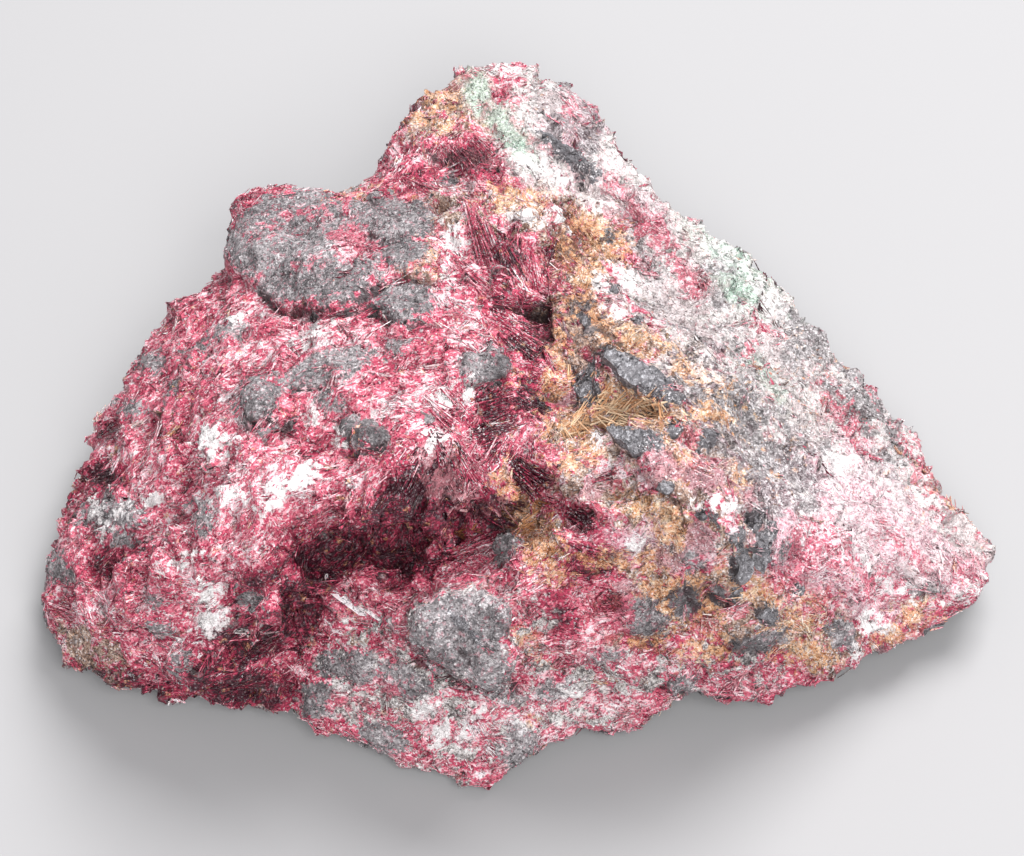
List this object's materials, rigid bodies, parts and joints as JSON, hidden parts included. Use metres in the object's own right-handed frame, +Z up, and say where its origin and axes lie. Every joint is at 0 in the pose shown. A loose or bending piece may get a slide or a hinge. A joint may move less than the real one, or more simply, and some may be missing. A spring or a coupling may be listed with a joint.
{
  "type": "roselite specimen",
  "caption": "Broken wedge of dark ore rock with crimson fibrous blades, grey ore, white and ochre patches and an open cleft; it rests on a broken flat.",
  "frame": {"origin": "middle of the box's underside, on the level that the rock rests on", "axes": "+X along the rock's longest side, from its blunt end to its thin nose; +Y away from the show side; +Z up from the resting flat"},
  "size_m": [0.098, 0.0914, 0.0356],
  "materials": {
    "rock": "rough broken mineral, dull to glassy, not metal"
  },
  "bodies": {
    "root": {"roselite_rock": "rock"}
  },
  "joints": []
}
